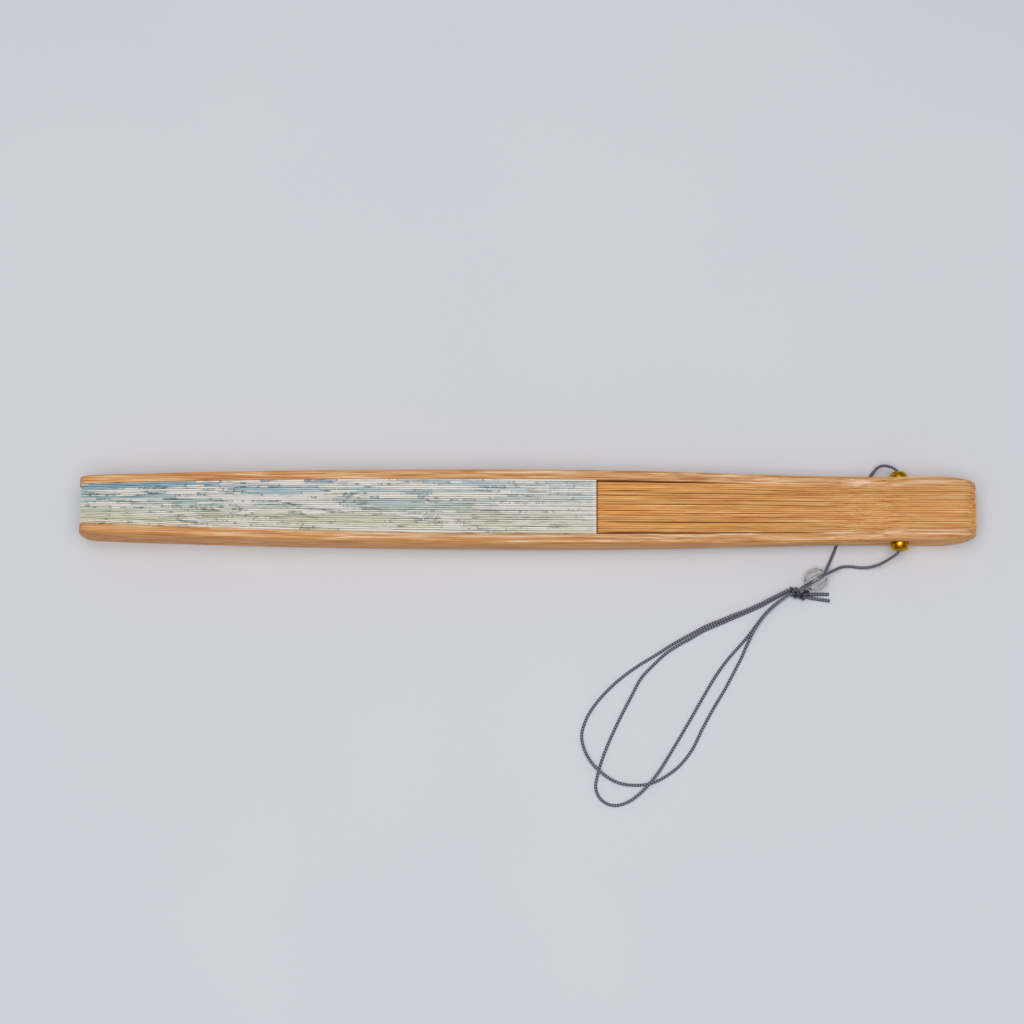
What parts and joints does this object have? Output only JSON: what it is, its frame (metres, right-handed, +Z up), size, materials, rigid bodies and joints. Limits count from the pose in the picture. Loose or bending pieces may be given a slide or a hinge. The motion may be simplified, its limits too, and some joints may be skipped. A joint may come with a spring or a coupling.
{
  "type": "folding fan",
  "caption": "Closed bamboo folding fan with a pleated paper leaf, a hollow brass pivot and a looped wrist cord with a clear bead; the sticks open together into a wide arc.",
  "frame": {"origin": "middle of the closed fan's own box, without the cord, at the table that it lies on", "axes": "+X along the fan towards the pivot head, +Y along the pivot towards the back guard, +Z up from the table"},
  "size_m": [0.2256, 0.0869, 0.016],
  "materials": {
    "guard_bamboo": "smooth pale bamboo with fine fibres, lightly waxed",
    "rib_bamboo": "split golden bamboo with fine long fibres",
    "leaf_paper": "matt cream paper with a wash of blue and green",
    "pivot_brass": "polished yellow brass",
    "cord_braid": "grey braided cord",
    "bead_clear": "clear polished bead"
  },
  "bodies": {
    "back_guard_body": {"guard_back": "guard_bamboo", "leaf_pleat_00": "leaf_paper", "pivot_tube": "pivot_brass", "pivot_cap_back": "pivot_brass", "pivot_cap_front": "pivot_brass", "cord_front": "cord_braid", "cord_back": "cord_braid", "cord_loop_long": "cord_braid", "cord_loop_short": "cord_braid", "cord_knot": "cord_braid", "bead": "bead_clear"},
    "stick_01": {"rib_01": "rib_bamboo", "leaf_pleat_01": "leaf_paper"},
    "stick_02": {"rib_02": "rib_bamboo", "leaf_pleat_02": "leaf_paper"},
    "stick_03": {"rib_03": "rib_bamboo", "leaf_pleat_03": "leaf_paper"},
    "stick_04": {"rib_04": "rib_bamboo", "leaf_pleat_04": "leaf_paper"},
    "stick_05": {"rib_05": "rib_bamboo", "leaf_pleat_05": "leaf_paper"},
    "stick_06": {"rib_06": "rib_bamboo", "leaf_pleat_06": "leaf_paper"},
    "stick_07": {"rib_07": "rib_bamboo", "leaf_pleat_07": "leaf_paper"},
    "stick_08": {"rib_08": "rib_bamboo", "leaf_pleat_08": "leaf_paper"},
    "stick_09": {"rib_09": "rib_bamboo", "leaf_pleat_09": "leaf_paper"},
    "stick_10": {"rib_10": "rib_bamboo", "leaf_pleat_10": "leaf_paper"},
    "stick_11": {"rib_11": "rib_bamboo", "leaf_pleat_11": "leaf_paper"},
    "stick_12": {"rib_12": "rib_bamboo", "leaf_pleat_12": "leaf_paper"},
    "stick_13": {"rib_13": "rib_bamboo", "leaf_pleat_13": "leaf_paper"},
    "stick_14": {"rib_14": "rib_bamboo", "leaf_pleat_14": "leaf_paper"},
    "stick_15": {"rib_15": "rib_bamboo", "leaf_pleat_15": "leaf_paper"},
    "stick_16": {"rib_16": "rib_bamboo", "leaf_pleat_16": "leaf_paper"},
    "stick_17": {"rib_17": "rib_bamboo", "leaf_pleat_17": "leaf_paper"},
    "stick_18": {"rib_18": "rib_bamboo", "leaf_pleat_18": "leaf_paper"},
    "stick_19": {"rib_19": "rib_bamboo", "leaf_pleat_19": "leaf_paper"},
    "stick_20": {"rib_20": "rib_bamboo", "leaf_pleat_20": "leaf_paper"},
    "stick_21": {"rib_21": "rib_bamboo", "leaf_pleat_21": "leaf_paper"},
    "stick_22": {"rib_22": "rib_bamboo", "leaf_pleat_22": "leaf_paper"},
    "stick_23": {"rib_23": "rib_bamboo", "leaf_pleat_23": "leaf_paper"},
    "front_guard_body": {"guard_front": "guard_bamboo", "leaf_end_panel": "leaf_paper"}
  },
  "joints": [
    {"name": "fan_opening", "type": "hinge", "parent": "back_guard_body", "child": "front_guard_body", "pos_m": [0.09375, 0, 0.00626], "axis": [0, 1, 0], "range_deg": [0, 120]},
    {"name": "stick_01_turn", "type": "hinge", "parent": "back_guard_body", "child": "stick_01", "pos_m": [0.09375, 0, 0.00626], "axis": [0, 1, 0], "range_deg": [0, 5]},
    {"name": "stick_02_turn", "type": "hinge", "parent": "back_guard_body", "child": "stick_02", "pos_m": [0.09375, 0, 0.00626], "axis": [0, 1, 0], "range_deg": [0, 10]},
    {"name": "stick_03_turn", "type": "hinge", "parent": "back_guard_body", "child": "stick_03", "pos_m": [0.09375, 0, 0.00626], "axis": [0, 1, 0], "range_deg": [0, 15]},
    {"name": "stick_04_turn", "type": "hinge", "parent": "back_guard_body", "child": "stick_04", "pos_m": [0.09375, 0, 0.00626], "axis": [0, 1, 0], "range_deg": [0, 20]},
    {"name": "stick_05_turn", "type": "hinge", "parent": "back_guard_body", "child": "stick_05", "pos_m": [0.09375, 0, 0.00626], "axis": [0, 1, 0], "range_deg": [0, 25]},
    {"name": "stick_06_turn", "type": "hinge", "parent": "back_guard_body", "child": "stick_06", "pos_m": [0.09375, 0, 0.00626], "axis": [0, 1, 0], "range_deg": [0, 30]},
    {"name": "stick_07_turn", "type": "hinge", "parent": "back_guard_body", "child": "stick_07", "pos_m": [0.09375, 0, 0.00626], "axis": [0, 1, 0], "range_deg": [0, 35]},
    {"name": "stick_08_turn", "type": "hinge", "parent": "back_guard_body", "child": "stick_08", "pos_m": [0.09375, 0, 0.00626], "axis": [0, 1, 0], "range_deg": [0, 40]},
    {"name": "stick_09_turn", "type": "hinge", "parent": "back_guard_body", "child": "stick_09", "pos_m": [0.09375, 0, 0.00626], "axis": [0, 1, 0], "range_deg": [0, 45]},
    {"name": "stick_10_turn", "type": "hinge", "parent": "back_guard_body", "child": "stick_10", "pos_m": [0.09375, 0, 0.00626], "axis": [0, 1, 0], "range_deg": [0, 50]},
    {"name": "stick_11_turn", "type": "hinge", "parent": "back_guard_body", "child": "stick_11", "pos_m": [0.09375, 0, 0.00626], "axis": [0, 1, 0], "range_deg": [0, 55]},
    {"name": "stick_12_turn", "type": "hinge", "parent": "back_guard_body", "child": "stick_12", "pos_m": [0.09375, 0, 0.00626], "axis": [0, 1, 0], "range_deg": [0, 60]},
    {"name": "stick_13_turn", "type": "hinge", "parent": "back_guard_body", "child": "stick_13", "pos_m": [0.09375, 0, 0.00626], "axis": [0, 1, 0], "range_deg": [0, 65]},
    {"name": "stick_14_turn", "type": "hinge", "parent": "back_guard_body", "child": "stick_14", "pos_m": [0.09375, 0, 0.00626], "axis": [0, 1, 0], "range_deg": [0, 70]},
    {"name": "stick_15_turn", "type": "hinge", "parent": "back_guard_body", "child": "stick_15", "pos_m": [0.09375, 0, 0.00626], "axis": [0, 1, 0], "range_deg": [0, 75]},
    {"name": "stick_16_turn", "type": "hinge", "parent": "back_guard_body", "child": "stick_16", "pos_m": [0.09375, 0, 0.00626], "axis": [0, 1, 0], "range_deg": [0, 80]},
    {"name": "stick_17_turn", "type": "hinge", "parent": "back_guard_body", "child": "stick_17", "pos_m": [0.09375, 0, 0.00626], "axis": [0, 1, 0], "range_deg": [0, 85]},
    {"name": "stick_18_turn", "type": "hinge", "parent": "back_guard_body", "child": "stick_18", "pos_m": [0.09375, 0, 0.00626], "axis": [0, 1, 0], "range_deg": [0, 90]},
    {"name": "stick_19_turn", "type": "hinge", "parent": "back_guard_body", "child": "stick_19", "pos_m": [0.09375, 0, 0.00626], "axis": [0, 1, 0], "range_deg": [0, 95]},
    {"name": "stick_20_turn", "type": "hinge", "parent": "back_guard_body", "child": "stick_20", "pos_m": [0.09375, 0, 0.00626], "axis": [0, 1, 0], "range_deg": [0, 100]},
    {"name": "stick_21_turn", "type": "hinge", "parent": "back_guard_body", "child": "stick_21", "pos_m": [0.09375, 0, 0.00626], "axis": [0, 1, 0], "range_deg": [0, 105]},
    {"name": "stick_22_turn", "type": "hinge", "parent": "back_guard_body", "child": "stick_22", "pos_m": [0.09375, 0, 0.00626], "axis": [0, 1, 0], "range_deg": [0, 110]},
    {"name": "stick_23_turn", "type": "hinge", "parent": "back_guard_body", "child": "stick_23", "pos_m": [0.09375, 0, 0.00626], "axis": [0, 1, 0], "range_deg": [0, 115]}
  ],
  "couplings": [
    {"joint": "stick_01_turn", "follows": "fan_opening", "ratio": 0.041666},
    {"joint": "stick_02_turn", "follows": "fan_opening", "ratio": 0.083333},
    {"joint": "stick_03_turn", "follows": "fan_opening", "ratio": 0.125},
    {"joint": "stick_04_turn", "follows": "fan_opening", "ratio": 0.16667},
    {"joint": "stick_05_turn", "follows": "fan_opening", "ratio": 0.20833},
    {"joint": "stick_06_turn", "follows": "fan_opening", "ratio": 0.25},
    {"joint": "stick_07_turn", "follows": "fan_opening", "ratio": 0.29167},
    {"joint": "stick_08_turn", "follows": "fan_opening", "ratio": 0.33333},
    {"joint": "stick_09_turn", "follows": "fan_opening", "ratio": 0.375},
    {"joint": "stick_10_turn", "follows": "fan_opening", "ratio": 0.41667},
    {"joint": "stick_11_turn", "follows": "fan_opening", "ratio": 0.45833},
    {"joint": "stick_12_turn", "follows": "fan_opening", "ratio": 0.5},
    {"joint": "stick_13_turn", "follows": "fan_opening", "ratio": 0.54167},
    {"joint": "stick_14_turn", "follows": "fan_opening", "ratio": 0.58333},
    {"joint": "stick_15_turn", "follows": "fan_opening", "ratio": 0.625},
    {"joint": "stick_16_turn", "follows": "fan_opening", "ratio": 0.66667},
    {"joint": "stick_17_turn", "follows": "fan_opening", "ratio": 0.70833},
    {"joint": "stick_18_turn", "follows": "fan_opening", "ratio": 0.75},
    {"joint": "stick_19_turn", "follows": "fan_opening", "ratio": 0.79167},
    {"joint": "stick_20_turn", "follows": "fan_opening", "ratio": 0.83333},
    {"joint": "stick_21_turn", "follows": "fan_opening", "ratio": 0.875},
    {"joint": "stick_22_turn", "follows": "fan_opening", "ratio": 0.91667},
    {"joint": "stick_23_turn", "follows": "fan_opening", "ratio": 0.95833}
  ]
}
